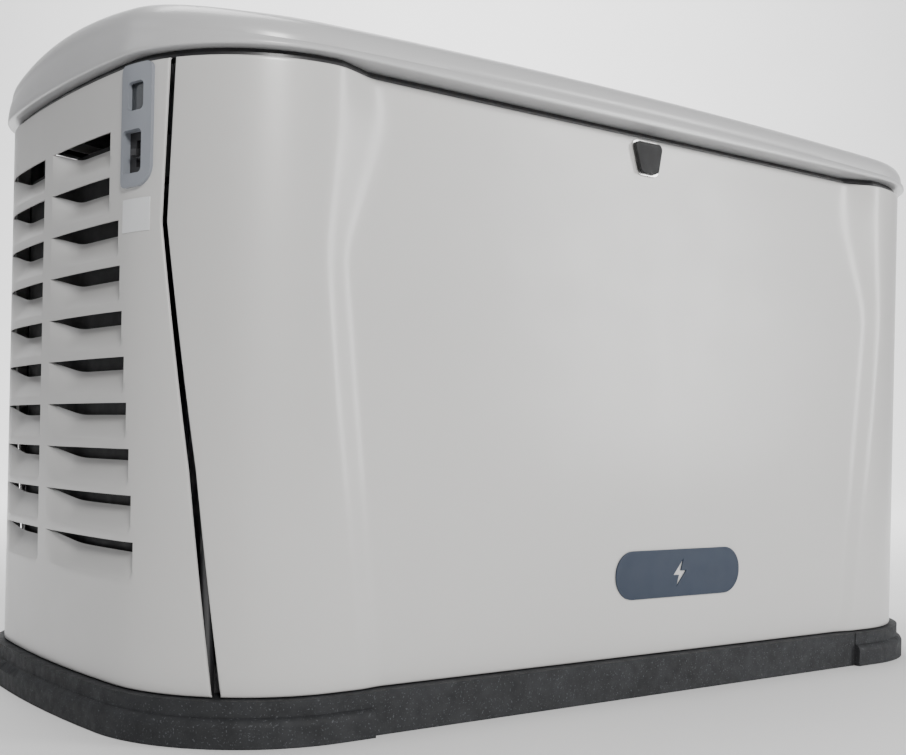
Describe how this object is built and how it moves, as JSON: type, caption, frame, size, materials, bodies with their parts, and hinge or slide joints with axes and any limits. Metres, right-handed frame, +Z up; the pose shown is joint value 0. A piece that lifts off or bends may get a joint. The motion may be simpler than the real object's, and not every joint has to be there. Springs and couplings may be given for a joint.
{
  "type": "home standby generator",
  "caption": "Pad-mounted home standby generator in a louvred sheet enclosure with a rear-hinged crowned lid, a lift-off front panel and a V-twin engine driving an alternator.",
  "frame": {"origin": "on the floor under the centre of the base pad", "axes": "+X along the length towards the exhaust end, -X the louvred air-intake end, -Y the front with the lift-off panel, +Z up"},
  "size_m": [1.218, 0.638, 0.732],
  "materials": {
    "panel_paint": "satin powder coat",
    "lid_paint": "satin powder coat",
    "base_composite": "mottled",
    "zinc_steel": "zinc plated",
    "black_steel": "satin black",
    "seal_rubber": "matt",
    "lock_metal": "satin",
    "bezel_plastic": "satin",
    "clear_lens": "clear",
    "label_white": "satin",
    "badge_navy": "satin",
    "breaker_plastic": "matt",
    "toggle_plastic": "satin",
    "cast_aluminium": "as cast",
    "cast_grey": "as cast",
    "ground_steel": "ground",
    "engine_black": "satin",
    "hose_rubber": "matt",
    "box_plastic": "satin",
    "filter_paper": "matt",
    "filter_paint": "gloss",
    "fuel_brass": "satin",
    "exhaust_steel": "heat tinted",
    "battery_case": "satin",
    "strap_steel": "satin",
    "display_glass": "clear",
    "key_green": "satin",
    "key_red": "satin",
    "key_blue": "satin",
    "key_grey": "satin",
    "stick_yellow": "gloss",
    "winding_copper": "lacquered"
  },
  "bodies": {
    "base": {"base_pad": "base_composite", "base_frame": "zinc_steel", "top_rail": "black_steel", "lid_seal": "seal_rubber", "corner_posts": "black_steel", "rear_panel": "panel_paint", "left_end_panel": "panel_paint", "right_end_panel": "panel_paint", "hinge_body_leaves": "black_steel", "inspection_bezel": "bezel_plastic", "status_lens": "clear_lens", "breaker": "breaker_plastic", "label_plate": "label_white", "isolators": "seal_rubber", "engine_cradle": "black_steel", "crankcase": "cast_aluminium", "cylinders": "cast_grey", "cylinder_heads": "cast_aluminium", "rocker_covers": "engine_black", "spark_plugs": "hose_rubber", "blower_housing": "engine_black", "starter_motor": "engine_black", "alternator_can": "cast_aluminium", "stator_core": "winding_copper", "oil_filter": "filter_paint", "dipstick_tube": "black_steel", "mixer": "cast_aluminium", "air_box": "box_plastic", "air_filter": "filter_paper", "fuel_inlet": "fuel_brass", "fuel_regulator": "cast_aluminium", "fuel_hose": "hose_rubber", "conduit_entry": "zinc_steel", "panel_screws": "zinc_steel", "bulkheads": "zinc_steel", "muffler": "exhaust_steel", "exhaust_pipes": "exhaust_steel", "battery": "battery_case", "battery_strap": "strap_steel", "control_box": "box_plastic", "control_display": "display_glass"},
    "lid": {"lid": "lid_paint", "hinge_lid_leaves": "black_steel", "lid_keeper": "zinc_steel"},
    "front": {"front_panel": "panel_paint", "lock_housing": "lock_metal", "badge": "badge_navy"},
    "lock_plug": {"lock_plug": "lock_metal"},
    "lock_cover": {"lock_cover": "seal_rubber"},
    "breaker_toggle": {"breaker_toggle": "toggle_plastic"},
    "rotating": {"crankshaft": "ground_steel", "flywheel": "cast_grey", "rotor": "winding_copper"},
    "dipstick": {"dipstick": "stick_yellow"},
    "air_cover": {"air_box_cover": "box_plastic"},
    "key_auto": {"key_auto": "key_green"},
    "key_off": {"key_off": "key_red"},
    "key_manual": {"key_manual": "key_blue"},
    "key_page": {"key_page": "key_grey"},
    "key_enter": {"key_enter": "key_grey"}
  },
  "joints": [
    {"name": "lid_hinge", "type": "hinge", "parent": "base", "child": "lid", "pos_m": [0, 0.3135, 0.652], "axis": [-1, 0, 0], "range_deg": [0, 95]},
    {"name": "front_panel_lift_off", "type": "slide", "parent": "base", "child": "front", "axis": [0, -1, 0], "range_m": [0, 0.15]},
    {"name": "lock_turn", "type": "hinge", "parent": "front", "child": "lock_plug", "pos_m": [0, -0.28564, 0.621], "axis": [0, -1, 0], "range_deg": [0, 90]},
    {"name": "lock_cover_flap", "type": "hinge", "parent": "front", "child": "lock_cover", "pos_m": [0, -0.28627, 0.63921], "axis": [-1, 0, 0], "range_deg": [0, 80]},
    {"name": "breaker_throw", "type": "hinge", "parent": "base", "child": "breaker_toggle", "pos_m": [-0.56903, -0.17118, 0.56], "axis": [0.2349, -0.972, 0], "range_deg": [-25, 25]},
    {"name": "crank_turn", "type": "hinge", "parent": "base", "child": "rotating", "pos_m": [0, 0, 0.262], "axis": [1, 0, 0], "continuous": true},
    {"name": "dipstick_pull", "type": "slide", "parent": "base", "child": "dipstick", "axis": [0, 0, 1], "range_m": [0, 0.14]},
    {"name": "air_cover_lift", "type": "slide", "parent": "base", "child": "air_cover", "axis": [0, 0, 1], "range_m": [0, 0.025]},
    {"name": "key_auto_press", "type": "slide", "parent": "base", "child": "key_auto", "axis": [0, 0, -1], "range_m": [0, 0.0015], "stiffness_N_per_m": 400},
    {"name": "key_off_press", "type": "slide", "parent": "base", "child": "key_off", "axis": [0, 0, -1], "range_m": [0, 0.0015], "stiffness_N_per_m": 400},
    {"name": "key_manual_press", "type": "slide", "parent": "base", "child": "key_manual", "axis": [0, 0, -1], "range_m": [0, 0.0015], "stiffness_N_per_m": 400},
    {"name": "key_page_press", "type": "slide", "parent": "base", "child": "key_page", "axis": [0, 0, -1], "range_m": [0, 0.0015], "stiffness_N_per_m": 400},
    {"name": "key_enter_press", "type": "slide", "parent": "base", "child": "key_enter", "axis": [0, 0, -1], "range_m": [0, 0.0015], "stiffness_N_per_m": 400}
  ]
}
